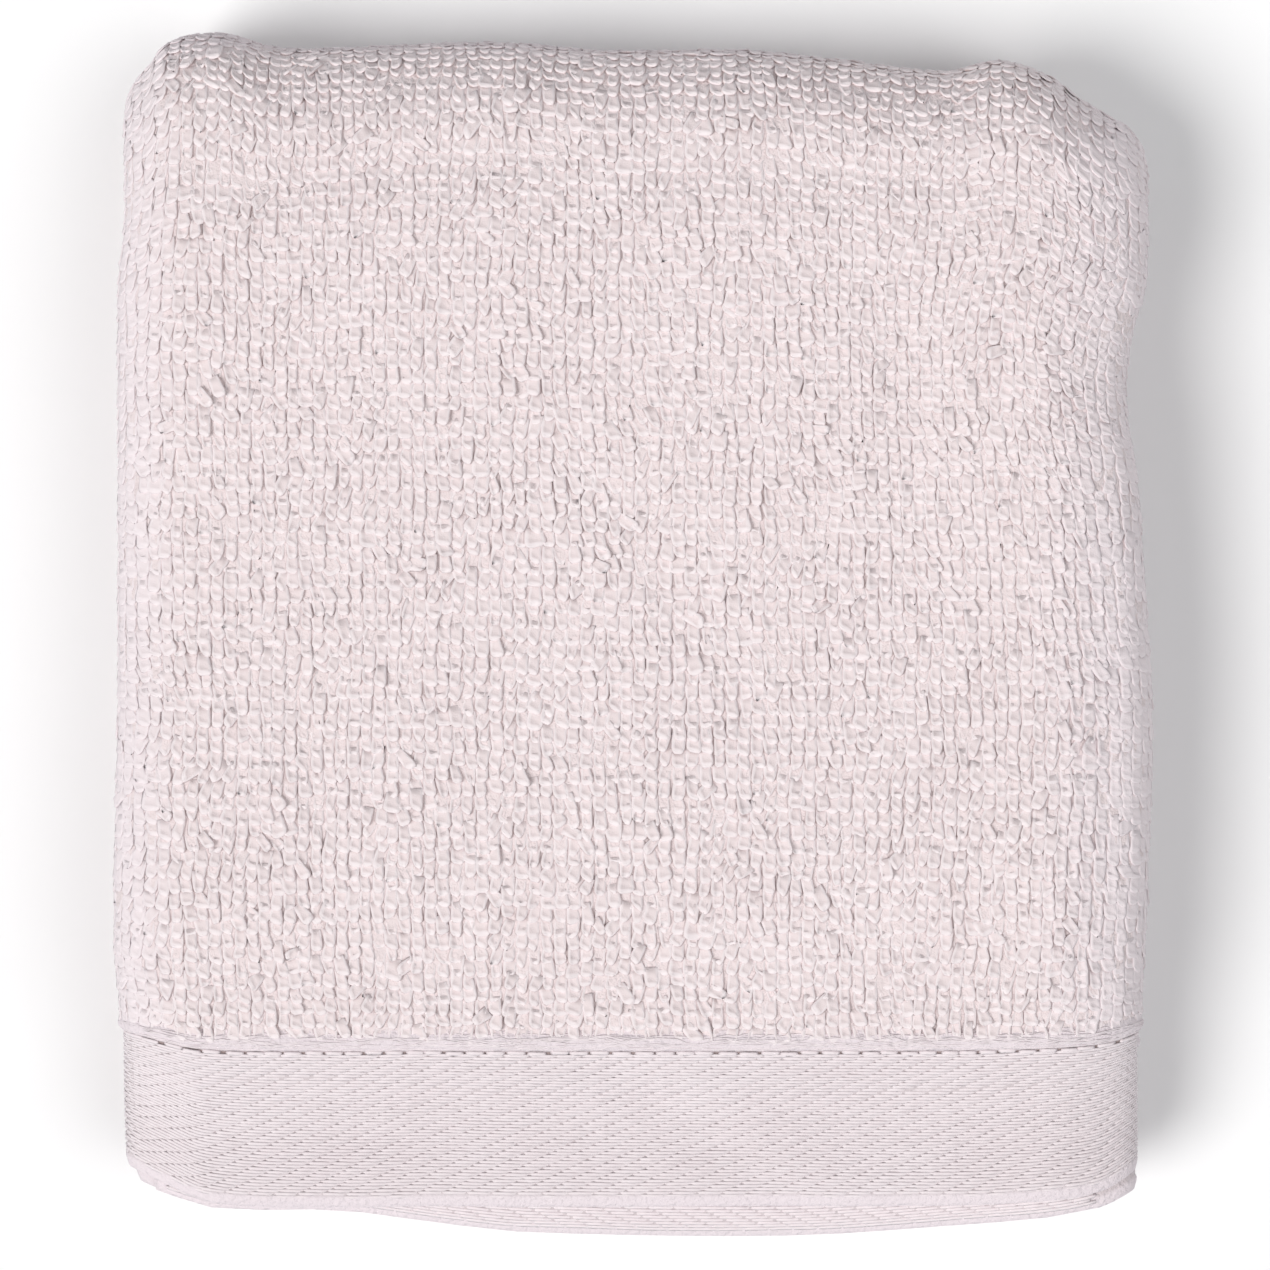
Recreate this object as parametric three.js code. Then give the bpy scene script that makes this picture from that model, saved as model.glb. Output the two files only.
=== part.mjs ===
// Folded guest towel of terry cloth, lying flat with its woven border to the front.
// It is one cloth: folded in three across its width, then in four along its length.
// Millimetres, +X to the right, +Y away from the border, +Z up, origin under the middle.

import * as THREE from "three";

// Size of the cloth, and the thickness of one layer with its pile
const clothWidth = 400;
const clothLength = 600;
const pileThickness = 2.6;
const layerGap = 0.35;
const foldGap = 0.4;
const turnGap = 0.8;

// Where the folded stack ends at the back and where its lower front fold lies
const backEdge = 77.6;
const frontFold = -75.6;
const upperEnd = -74.6;
const outerTurnRadius = 7.5;

// How much shorter than the middle panel each flap is
const flapShort = { left: 2.2, right: 0.4 };

// The border at each end of the cloth is flat weave, which lets its layers lie closer
const borderLayerGap = 0.55;
const borderSettle = { from: 8, to: 26 };
const endDroop = 0.028;
const borderThickness = [
  { fromEnd: 0, thick: 0.9 },
  { fromEnd: 1.6, thick: 1.5 },
  { fromEnd: 17.6, thick: 1.3 },
  { fromEnd: 19.4, thick: 1.3 },
  { fromEnd: 21.4, thick: 2.3 },
  { fromEnd: 24.4, thick: 2.2 },
  { fromEnd: 27, thick: pileThickness },
];

// The two side edges of the cloth are narrow flat hems
const sideHemThickness = [
  { fromEdge: 0, share: 0.5 },
  { fromEdge: 3, share: 0.72 },
  { fromEdge: 12, share: 1 },
];

// How far the outline stands out from an even rectangle, seen from above
const leftOutline = [
  { y: -77, out: -3.8 },
  { y: -70, out: -2.6 },
  { y: -62, out: -2.1 },
  { y: -54, out: -1.9 },
  { y: -48, out: -1.7 },
  { y: -38, out: -0.9 },
  { y: -10, out: -1.3 },
  { y: 30, out: -1.4 },
  { y: 50, out: -1.5 },
  { y: 60, out: -2.2 },
  { y: 77, out: -1.8 },
];
const rightOutline = [
  { y: -77, out: -2.2 },
  { y: -54, out: -2 },
  { y: -46, out: -1.5 },
  { y: -30, out: -0.8 },
  { y: -10, out: -0.2 },
  { y: 6, out: -1 },
  { y: 20, out: -2 },
  { y: 36, out: -3.7 },
  { y: 47, out: -2.7 },
  { y: 56, out: -1 },
  { y: 77, out: -0.6 },
];
const backOutline = [
  { x: -68, out: -3.6 },
  { x: -64, out: -0.8 },
  { x: -60, out: 1.3 },
  { x: -55, out: 1.3 },
  { x: -46, out: -0.5 },
  { x: -18, out: 0.4 },
  { x: -5, out: -0.6 },
  { x: 15, out: -0.7 },
  { x: 26, out: -1.8 },
  { x: 41, out: -3.4 },
  { x: 48, out: -2 },
  { x: 54, out: -3.6 },
  { x: 60, out: -7.6 },
  { x: 68, out: -11.6 },
];

// How far each border's hem line strays from straight, for the upper end and the lower one
const hemLines = [
  { x: -68, upper: -5.8, lower: -6 },
  { x: -63, upper: -3.4, lower: -4.4 },
  { x: -57, upper: -0.8, lower: -3.4 },
  { x: -40, upper: 0, lower: -3 },
  { x: -26, upper: -0.2, lower: -1.8 },
  { x: -14, upper: 0, lower: -0.5 },
  { x: 20, upper: 0.1, lower: -0.1 },
  { x: 44, upper: 0.2, lower: -1.6 },
  { x: 56, upper: 0.1, lower: -2.6 },
  { x: 63, upper: -0.8, lower: -3.2 },
  { x: 68, upper: -4.2, lower: -5 },
];

// The folded strips don't lie quite above each other
const strayOfStack = [
  { z: 0, left: -0.9, right: -0.7, back: -0.6 },
  { z: 8, left: -0.2, right: -1, back: 0.5 },
  { z: 17, left: -0.7, right: 0, back: 0.9 },
  { z: 26, left: 0, right: -0.4, back: -0.3 },
  { z: 36, left: -0.3, right: -0.9, back: -1.6 },
];

// The stack is highest along its middle, and its long sides roll down
const rollLeft = { reach: 11, share: 0.14 };
const rollRight = { reach: 15, share: 0.18 };
const rollRound = 0.8;
const backPress = { reach: 26, share: 0.05 };
const crown = 0.035;
const swellOfTop = [
  { y: -60, share: -0.01 },
  { y: -30, share: 0.012 },
  { y: 5, share: -0.006 },
  { y: 38, share: 0.014 },
  { y: 66, share: 0 },
];

// The outline's bends fade out towards the middle of the stack, and the hem's over its strip
const halfWidth = 68;
const bendFrom = 12;
const hemStrayReach = 40;

// Moves the bent outline so that its box is centred on the origin
const centring = { x: -0.37, y: -1.23 };

// Places where the surface is sampled
const layerSamples = [-61, -56.5, -46, -18, 10, 30, 42, 50, 56, 61];
const sideFoldSteps = { left: 4, right: 6 };
const stripSamples = [-44, -28, -8, 14, 34, 49, 59];
const turnSteps = { fold: 6, corner: 4 };
const clearOfTurn = 4;
const borderSamples = [0, 1.6, 5, 10, 19.4, 21.4, 24.4];

const halfPile = pileThickness / 2;
const pilePitch = pileThickness + layerGap;
const stripHalf = pilePitch + halfPile;
const stripPitch = 2 * stripHalf + foldGap;
const foldRadius = stripPitch / 2;

function clamp(value, low, high) {
  return Math.min(Math.max(value, low), high);
}

function ease(value) {
  const t = clamp(value, 0, 1);
  return t * t * (3 - 2 * t);
}

// Finds the row of a table that comes before a place, and how far on the place is
function rowBefore(rows, along, place) {
  const last = rows.length - 1;
  const at = clamp(place, rows[0][along], rows[last][along]);
  let i = 0;
  while (i < last - 1 && at > rows[i + 1][along]) {
    i += 1;
  }
  const span = rows[i + 1][along] - rows[i][along];
  return { i, span, t: (at - rows[i][along]) / span };
}

// Reads a column with straight lines between its rows
function readStraight(rows, along, place, column) {
  const { i, t } = rowBefore(rows, along, place);
  return rows[i][column] + (rows[i + 1][column] - rows[i][column]) * t;
}

// Reads a column on a smooth curve through its rows
function read(rows, along, place, column) {
  const { i, span, t } = rowBefore(rows, along, place);
  const slope = (k) => {
    const a = rows[Math.max(k - 1, 0)];
    const b = rows[Math.min(k + 1, rows.length - 1)];
    return (b[column] - a[column]) / (b[along] - a[along]);
  };
  const from = rows[i][column];
  const to = rows[i + 1][column];
  const rise = (to - from) * (3 - 2 * t) * t * t;
  const bend = slope(i) * t * (1 - t) * (1 - t) - slope(i + 1) * t * t * (1 - t);
  return from + rise + bend * span;
}

// Thickness of the cloth at a distance from its nearer woven end and its nearer side
function thicknessAt(across, fromEnd) {
  const ends = readStraight(borderThickness, "fromEnd", fromEnd, "thick");
  const fromEdge = Math.min(across, clothWidth - across);
  return ends * readStraight(sideHemThickness, "fromEdge", fromEdge, "share");
}

// Distance between the middles of two layers, which is less in the border
function pitchAt(fromEnd) {
  const woven = borderThickness[2].thick + borderLayerGap;
  const { from, to } = borderSettle;
  return woven + (pilePitch - woven) * ease((fromEnd - from) / (to - from));
}

// Fold lines across the width: the left flap goes under first, the right flap under both
const sideFoldArcs = 1.5 * Math.PI * pilePitch;
const panel = (clothWidth + flapShort.left + flapShort.right - sideFoldArcs) / 3;
const leftFoldLine = panel - flapShort.left + (Math.PI * pilePitch) / 4;
const rightFoldLine = leftFoldLine + panel + (Math.PI * pilePitch * 3) / 4;

// Where the three layers and two side folds start along the width
function sectionOf(pitch) {
  const leftArc = (Math.PI * pitch) / 2;
  const rightArc = Math.PI * pitch;
  const leftStart = leftFoldLine - leftArc / 2;
  const leftEnd = leftFoldLine + leftArc / 2;
  const rightStart = rightFoldLine - rightArc / 2;
  const rightEnd = rightFoldLine + rightArc / 2;
  const run = rightStart - leftEnd;
  const left = -run / 2 - pitch / 4;
  return { leftStart, leftEnd, rightStart, rightEnd, left, right: left + run };
}

// A point of the folded width: x across, m up from the middle layer, and the way out
function acrossPoint(across, pitch) {
  const s = sectionOf(pitch);
  if (across < s.leftStart) {
    return { x: s.left + s.leftStart - across, m: 0, outX: 0, outM: -1 };
  }
  if (across < s.leftEnd) {
    const angle = (Math.PI * (across - s.leftStart)) / (s.leftEnd - s.leftStart);
    const outX = -Math.sin(angle);
    const outM = -Math.cos(angle);
    return { x: s.left + (outX * pitch) / 2, m: ((1 + outM) * pitch) / 2, outX, outM };
  }
  if (across < s.rightStart) {
    return { x: s.left + across - s.leftEnd, m: pitch, outX: 0, outM: 1 };
  }
  if (across < s.rightEnd) {
    const angle = (Math.PI * (across - s.rightStart)) / (s.rightEnd - s.rightStart);
    const outX = Math.sin(angle);
    const outM = Math.cos(angle);
    return { x: s.right + outX * pitch, m: outM * pitch, outX, outM };
  }
  return { x: s.right - (across - s.rightEnd), m: -pitch, outX: 0, outM: -1 };
}

// The folded strip's way through the stack, from the lower end of the cloth to the upper
const turnCentre = backEdge - stripHalf - outerTurnRadius;
const innerCentre = backEdge - 2 * stripHalf - turnGap - foldRadius - stripHalf;
const frontCentre = frontFold + foldRadius + stripHalf;
const level = [0, 1, 2, 3].map((i) => stripHalf + i * stripPitch);
const foldArc = Math.PI * foldRadius;
const cornerArc = (Math.PI * outerTurnRadius) / 2;
const turnRise = level[3] - level[0] - 2 * outerTurnRadius;
const upperRun = turnCentre - upperEnd;
const innerRun = innerCentre - frontCentre;
const bottomRun = turnCentre - frontCentre;
const aroundBack = 2 * cornerArc + turnRise;
const lowerRun = clothLength - upperRun - aroundBack - bottomRun - innerRun - 2 * foldArc;
const lowerEnd = innerCentre - lowerRun;

function strip(y, z, length, heading) {
  return { kind: "strip", length, y, z, heading };
}

function turn(y, z, radius, heading, hand, sweep) {
  return { kind: "turn", length: radius * sweep, y, z, radius, heading, hand };
}

const backward = 0;
const upward = Math.PI / 2;
const forward = Math.PI;
const riseFrom = level[0] + outerTurnRadius;
const riseTo = level[3] - outerTurnRadius;
const riseAt = turnCentre + outerTurnRadius;
const way = [
  strip(lowerEnd, level[2], lowerRun, backward),
  turn(innerCentre, level[1] + foldRadius, foldRadius, backward, -1, Math.PI),
  strip(innerCentre, level[1], innerRun, forward),
  turn(frontCentre, level[0] + foldRadius, foldRadius, forward, 1, Math.PI),
  strip(frontCentre, level[0], bottomRun, backward),
  turn(turnCentre, riseFrom, outerTurnRadius, backward, 1, Math.PI / 2),
  { kind: "rise", length: turnRise, y: riseAt, z: riseFrom, heading: upward },
  turn(turnCentre, riseTo, outerTurnRadius, upward, 1, Math.PI / 2),
  strip(turnCentre, level[3], upperRun, forward),
];

// A point of the strip's middle layer at a length along the cloth, and its heading
function wayPoint(along) {
  let rest = along;
  let i = 0;
  while (i < way.length - 1 && rest > way[i].length) {
    rest -= way[i].length;
    i += 1;
  }
  const part = way[i];
  if (part.kind !== "turn") {
    const y = part.y + rest * Math.cos(part.heading);
    return { y, z: part.z + rest * Math.sin(part.heading), heading: part.heading, part: i };
  }
  const heading = part.heading + (part.hand * rest) / part.radius;
  const y = part.y + part.hand * part.radius * Math.sin(heading);
  return { y, z: part.z - part.hand * part.radius * Math.cos(heading), heading, part: i };
}

// How much lower a border lies than pile would, at a distance from its hem line
function thinnerBy(fromEnd) {
  const thick = readStraight(borderThickness, "fromEnd", fromEnd, "thick");
  return stripHalf - pitchAt(fromEnd) - thick / 2;
}

// How far the two ends sink: their weave is thin, and the fold below them is round
function sinkAt(along, part, y, apart) {
  const over = Math.max(frontCentre - y, 0);
  const droop = endDroop * over * over;
  if (part === 0) {
    return thinnerBy(along) + droop;
  }
  if (part === way.length - 1) {
    const fromEnd = clothLength - along;
    return 2 * thinnerBy(fromEnd + apart) + thinnerBy(fromEnd) + droop;
  }
  return 0;
}

// Share of the height lost near a long side, like the edge of a cushion
function rollDown(fromSide, roll) {
  const t = rollRound * clamp(1 - fromSide / roll.reach, 0, 1);
  return (roll.share * (1 - Math.sqrt(1 - t * t))) / (1 - Math.sqrt(1 - rollRound ** 2));
}

// Bends the even stack to the outline of the real one
function settle(x, y, z) {
  const toLeft = ease((-x - bendFrom) / (halfWidth - bendFrom));
  const toRight = ease((x - bendFrom) / (halfWidth - bendFrom));
  const toBack = ease((y - bendFrom) / (backEdge - bendFrom));
  const leftOut = read(leftOutline, "y", y, "out") + read(strayOfStack, "z", z, "left");
  const rightOut = read(rightOutline, "y", y, "out") + read(strayOfStack, "z", z, "right");
  const backOut = read(backOutline, "x", x, "out") + read(strayOfStack, "z", z, "back");
  const pressBack = backPress.share * ease((y - backEdge + backPress.reach) / backPress.reach);
  const middle = crown * (1 - (x / halfWidth) ** 2) * (1 - (y / backEdge) ** 2);
  const swell = read(swellOfTop, "y", y, "share");
  const rolled = rollDown(halfWidth + x, rollLeft) + rollDown(halfWidth - x, rollRight);
  const height = (1 - rolled) * (1 - pressBack) * (1 + middle + swell);
  return {
    x: x + toRight * rightOut - toLeft * leftOut + centring.x,
    y: y + toBack * backOut + centring.y,
    z: z * height,
  };
}

// A point of the folded cloth: across its width, along its length, and off its middle plane
function clothPoint(across, along, off) {
  const fromEnd = Math.min(along, clothLength - along);
  const section = acrossPoint(across, pitchAt(fromEnd));
  const middle = wayPoint(along);
  const x = section.x + off * section.outX;
  const m = section.m + off * section.outM;
  const isUpper = middle.part === way.length - 1;
  const upperStray = read(hemLines, "x", x, "upper");
  const lowerStray = read(hemLines, "x", x, "lower");
  const stray = isUpper ? upperStray : lowerStray;
  const nearEnd = middle.part === 0 || isUpper ? ease(1 - fromEnd / hemStrayReach) : 0;
  const apart = upperEnd - lowerEnd + (lowerStray - upperStray) * nearEnd;
  const y = middle.y + m * Math.sin(middle.heading) - stray * nearEnd;
  const z = middle.z - m * Math.cos(middle.heading) - sinkAt(along, middle.part, y, apart);
  return settle(x, y, z);
}

// Samples across the cloth: all three layers at the same places, so that they nest
function acrossSamples() {
  const s = sectionOf(pilePitch);
  const places = [0, s.leftStart, s.leftEnd, s.rightStart, s.rightEnd, clothWidth];
  layerSamples.forEach((x) => {
    places.push(s.leftStart + s.left - x, s.leftEnd + x - s.left, s.rightEnd + s.right - x);
  });
  const addFold = (start, end, steps) => {
    for (let i = 1; i < steps; i += 1) {
      places.push(start + ((end - start) * i) / steps);
    }
  };
  addFold(s.leftStart, s.leftEnd, sideFoldSteps.left);
  addFold(s.rightStart, s.rightEnd, sideFoldSteps.right);
  return places.sort((a, b) => a - b);
}

// Samples along the cloth: each strip at the same places, each turn in even steps
function alongSamples() {
  const places = [];
  let start = 0;
  way.forEach((part) => {
    const end = start + part.length;
    if (part.kind === "turn") {
      const steps = part.radius === outerTurnRadius ? turnSteps.corner : turnSteps.fold;
      for (let k = 0; k <= steps; k += 1) {
        places.push(start + (part.length * k) / steps);
      }
    }
    if (part.kind === "rise") {
      places.push((start + end) / 2);
    }
    if (part.kind === "strip") {
      const direction = Math.cos(part.heading);
      stripSamples.forEach((y) => {
        const at = start + (y - part.y) * direction;
        if (at > start + clearOfTurn && at < end - clearOfTurn) {
          places.push(at);
        }
      });
    }
    start = end;
  });
  borderSamples.forEach((d) => places.push(d, clothLength - d));
  return places.sort((a, b) => a - b).filter((d, i, all) => i === 0 || d - all[i - 1] > 0.01);
}

// Builds the closed cloth: its face, its back and the rim around them
function towelGeometry() {
  const us = acrossSamples();
  const ss = alongSamples();
  const positions = [];
  const index = [];
  const columns = us.length;
  const side = us.length * ss.length;
  [1, -1].forEach((face) => {
    ss.forEach((along) => {
      us.forEach((across) => {
        const fromEnd = Math.min(along, clothLength - along);
        const off = (face * thicknessAt(across, fromEnd)) / 2;
        const p = clothPoint(across, along, off);
        positions.push(p.x, p.y, Math.abs(p.z) < 1e-4 ? 0 : p.z);
      });
    });
  });
  const quad = (a, b, c, d) => index.push(a, b, c, a, c, d);
  for (let j = 0; j < ss.length - 1; j += 1) {
    for (let i = 0; i < columns - 1; i += 1) {
      const a = j * columns + i;
      const b = a + columns;
      quad(a, b, b + 1, a + 1);
      quad(a + side, a + 1 + side, b + 1 + side, b + side);
    }
  }
  for (let j = 0; j < ss.length - 1; j += 1) {
    const a = j * columns;
    const b = a + columns;
    quad(a, a + side, b + side, b);
    const c = a + columns - 1;
    const d = c + columns;
    quad(c, d, d + side, c + side);
  }
  for (let i = 0; i < columns - 1; i += 1) {
    quad(i, i + 1, i + 1 + side, i + side);
    const e = (ss.length - 1) * columns + i;
    quad(e, e + side, e + 1 + side, e + 1);
  }
  const geometry = new THREE.BufferGeometry();
  geometry.setAttribute("position", new THREE.Float32BufferAttribute(positions, 3));
  geometry.setIndex(index);
  geometry.computeVertexNormals();
  return geometry;
}

const blushTerry = new THREE.MeshStandardMaterial({ color: 0xe6d7d7, roughness: 0.95, metalness: 0 });

const towel = new THREE.Mesh(towelGeometry(), blushTerry);
towel.name = "towel";

const foldedTowel = new THREE.Group();
foldedTowel.add(towel);

export default foldedTowel;
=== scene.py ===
# %% [markdown]
# # A folded guest towel, dressed
# The real thing is one terry cloth, 400 by 600 mm. It is folded in three across its width and
# in four along its length, and lies flat with one woven border to the front. The CAD solid has
# that folded form. This script covers the same form with what makes it terry: loops of yarn,
# a twill border, a ridge where the two meet, and soft creases. It starts with the CAD model as
# a fixed frame, which nothing here moves.

# %% Load the frame
import math

import bpy
import numpy as np
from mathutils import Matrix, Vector


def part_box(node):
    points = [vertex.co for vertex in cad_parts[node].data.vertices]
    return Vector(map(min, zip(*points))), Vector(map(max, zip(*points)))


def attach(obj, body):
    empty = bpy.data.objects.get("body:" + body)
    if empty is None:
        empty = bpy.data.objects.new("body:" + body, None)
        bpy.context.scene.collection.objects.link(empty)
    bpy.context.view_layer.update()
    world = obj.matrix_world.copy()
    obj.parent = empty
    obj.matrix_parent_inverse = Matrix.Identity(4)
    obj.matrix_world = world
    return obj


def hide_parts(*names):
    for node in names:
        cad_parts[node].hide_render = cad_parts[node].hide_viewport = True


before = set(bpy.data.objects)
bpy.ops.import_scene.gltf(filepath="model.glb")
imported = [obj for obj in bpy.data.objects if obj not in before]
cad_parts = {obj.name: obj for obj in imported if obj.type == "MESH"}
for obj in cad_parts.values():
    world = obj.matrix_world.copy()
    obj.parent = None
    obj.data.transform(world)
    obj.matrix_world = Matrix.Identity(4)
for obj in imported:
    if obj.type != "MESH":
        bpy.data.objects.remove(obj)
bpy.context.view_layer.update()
low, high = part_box("towel")
print("CAD towel box, mm:", [round(v * 1000, 1) for v in (*low, *high)])

# %% [markdown]
# ## Reading smooth curves
# Every bend of the towel is given by a short table of places and values, as a maker would mark
# it along an edge. Two readers turn a table into a line: one goes straight from mark to mark,
# the other bends smoothly through the marks. They work on whole arrays, because thousands of
# points are read at once.

# %% Readers for tables
def ease(value):
    """Goes from 0 to 1 with a soft start and end."""
    t = np.clip(value, 0, 1)
    return t * t * (3 - 2 * t)


def straight(table, at):
    places, values = np.array(table, float).T
    return np.interp(at, places, values)


def smooth(table, at):
    places, values = np.array(table, float).T
    last = len(places) - 1
    order = np.arange(last + 1)
    before = np.maximum(order - 1, 0)
    after = np.minimum(order + 1, last)
    slope = (values[after] - values[before]) / (places[after] - places[before])
    at = np.clip(at, places[0], places[-1])
    i = np.clip(np.searchsorted(places, at) - 1, 0, last - 1)
    span = places[i + 1] - places[i]
    t = (at - places[i]) / span
    rise = (values[i + 1] - values[i]) * (3 - 2 * t) * t * t
    bend = slope[i] * t * (1 - t) ** 2 - slope[i + 1] * t * t * (1 - t)
    return values[i] + rise + bend * span


# %% [markdown]
# ## The fold map
# A folded cloth could be made by simulation, but a real fold is known: each layer keeps its
# length, and each turn is an arc. So the fold is a map. It takes a point of the flat cloth,
# across its width and along its length, and how far off the middle of the cloth it is, and
# gives the place in the folded stack. A loop or a yarn that is laid out on the flat cloth then
# goes round every fold by itself. The map works in millimetres with the CAD model's sizes, and
# the points come out in metres.

# %% Sizes of the cloth and its folds
CLOTH_WIDTH = 400
CLOTH_LENGTH = 600
PILE_THICKNESS = 2.6
LAYER_GAP = 0.35
FOLD_GAP = 0.4
TURN_GAP = 0.8
BACK_EDGE = 77.6
FRONT_FOLD = -75.6
UPPER_END = -74.6
OUTER_TURN_RADIUS = 7.5
FLAP_SHORT_LEFT = 2.2
FLAP_SHORT_RIGHT = 0.4
BORDER_LAYER_GAP = 0.55
BORDER_SETTLE = (8, 26)
END_DROOP = 0.028

# Thickness of the cloth by the distance from its woven end, and its share near a side edge
BORDER_THICKNESS = [(0, 0.9), (1.6, 1.5), (17.6, 1.3), (19.4, 1.3), (21.4, 2.3), (24.4, 2.2), (27, 2.6)]
BORDER_WOVEN = 1.3 + BORDER_LAYER_GAP
SIDE_HEM = [(0, 0.5), (3, 0.72), (12, 1)]

PITCH = PILE_THICKNESS + LAYER_GAP
STRIP_HALF = PITCH + PILE_THICKNESS / 2
STRIP_PITCH = 2 * STRIP_HALF + FOLD_GAP
FOLD_RADIUS = STRIP_PITCH / 2
print(f"layers {PITCH:.2f} mm apart, strips {STRIP_PITCH:.2f} mm apart")

# %% The folds across the width
SIDE_ARCS = 1.5 * math.pi * PITCH
PANEL = (CLOTH_WIDTH + FLAP_SHORT_LEFT + FLAP_SHORT_RIGHT - SIDE_ARCS) / 3
LEFT_FOLD_LINE = PANEL - FLAP_SHORT_LEFT + math.pi * PITCH / 4
RIGHT_FOLD_LINE = LEFT_FOLD_LINE + PANEL + math.pi * PITCH * 3 / 4


def pitch_at(from_end):
    """How far apart two layers lie, which is less in the border."""
    start, end = BORDER_SETTLE
    return BORDER_WOVEN + (PITCH - BORDER_WOVEN) * ease((from_end - start) / (end - start))


def fold_across(across, pitch):
    """Sideways place, height over the middle layer, and the way out, of the folded width."""
    left_arc = math.pi * pitch / 2
    right_arc = math.pi * pitch
    left_start = LEFT_FOLD_LINE - left_arc / 2
    left_end = LEFT_FOLD_LINE + left_arc / 2
    right_start = RIGHT_FOLD_LINE - right_arc / 2
    right_end = RIGHT_FOLD_LINE + right_arc / 2
    run = right_start - left_end
    left = -run / 2 - pitch / 4
    right = left + run
    left_turn = np.clip((across - left_start) / left_arc, 0, 1) * math.pi
    right_turn = np.clip((across - right_start) / right_arc, 0, 1) * math.pi
    on_right = across > right_start
    under_left = np.maximum(left_start - across, 0)
    panel = np.clip(across, left_end, right_start) - left_end
    under_right = np.maximum(across - right_end, 0)
    out_x = np.where(on_right, np.sin(right_turn), -np.sin(left_turn))
    out_m = np.where(on_right, np.cos(right_turn), -np.cos(left_turn))
    x_left = left + under_left + panel + out_x * pitch / 2
    x_right = right - under_right + out_x * pitch
    m_left = (1 + out_m) * pitch / 2
    return np.where(on_right, x_right, x_left), np.where(on_right, out_m * pitch, m_left), out_x, out_m


# %% The way along the length
TURN_CENTRE = BACK_EDGE - STRIP_HALF - OUTER_TURN_RADIUS
INNER_CENTRE = BACK_EDGE - 2 * STRIP_HALF - TURN_GAP - FOLD_RADIUS - STRIP_HALF
FRONT_CENTRE = FRONT_FOLD + FOLD_RADIUS + STRIP_HALF
LEVEL = [STRIP_HALF + i * STRIP_PITCH for i in range(4)]
TURN_RISE = LEVEL[3] - LEVEL[0] - 2 * OUTER_TURN_RADIUS
UPPER_RUN = TURN_CENTRE - UPPER_END
INNER_RUN = INNER_CENTRE - FRONT_CENTRE
BOTTOM_RUN = TURN_CENTRE - FRONT_CENTRE
AROUND_BACK = math.pi * OUTER_TURN_RADIUS + TURN_RISE
LOWER_RUN = CLOTH_LENGTH - UPPER_RUN - AROUND_BACK - BOTTOM_RUN - INNER_RUN - 2 * math.pi * FOLD_RADIUS
LOWER_END = INNER_CENTRE - LOWER_RUN

# Each part of the way: start or turn centre (y, z), length, heading, radius and hand of its turn
BACKWARD, UPWARD, FORWARD = 0, math.pi / 2, math.pi
CORNER = math.pi / 2 * OUTER_TURN_RADIUS
HALF_TURN = math.pi * FOLD_RADIUS
RISE_FROM = LEVEL[0] + OUTER_TURN_RADIUS
RISE_TO = LEVEL[3] - OUTER_TURN_RADIUS
WAY = np.array([
    (LOWER_END, LEVEL[2], LOWER_RUN, BACKWARD, 0, 0),
    (INNER_CENTRE, LEVEL[1] + FOLD_RADIUS, HALF_TURN, BACKWARD, FOLD_RADIUS, -1),
    (INNER_CENTRE, LEVEL[1], INNER_RUN, FORWARD, 0, 0),
    (FRONT_CENTRE, LEVEL[0] + FOLD_RADIUS, HALF_TURN, FORWARD, FOLD_RADIUS, 1),
    (FRONT_CENTRE, LEVEL[0], BOTTOM_RUN, BACKWARD, 0, 0),
    (TURN_CENTRE, RISE_FROM, CORNER, BACKWARD, OUTER_TURN_RADIUS, 1),
    (TURN_CENTRE + OUTER_TURN_RADIUS, RISE_FROM, TURN_RISE, UPWARD, 0, 0),
    (TURN_CENTRE, RISE_TO, CORNER, UPWARD, OUTER_TURN_RADIUS, 1),
    (TURN_CENTRE, LEVEL[3], UPPER_RUN, FORWARD, 0, 0),
])
WAY_ENDS = np.cumsum(WAY[:, 2])
LAST_PART = len(WAY) - 1


def way_point(along):
    """Place, heading and part of the way, at a length along the cloth."""
    part = np.clip(np.searchsorted(WAY_ENDS, along), 0, LAST_PART)
    y, z, length, start, radius, hand = np.moveaxis(WAY[part], -1, 0)
    rest = along - (WAY_ENDS[part] - length)
    turning = radius > 0
    heading = start + np.where(turning, hand * rest / np.where(turning, radius, 1), 0)
    arc = hand * radius
    y = y + np.where(turning, arc * np.sin(heading), rest * np.cos(heading))
    z = z + np.where(turning, -arc * np.cos(heading), rest * np.sin(heading))
    return y, z, heading, part


print("length along the cloth at each turn, mm:", np.round(WAY_ENDS, 1))
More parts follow.
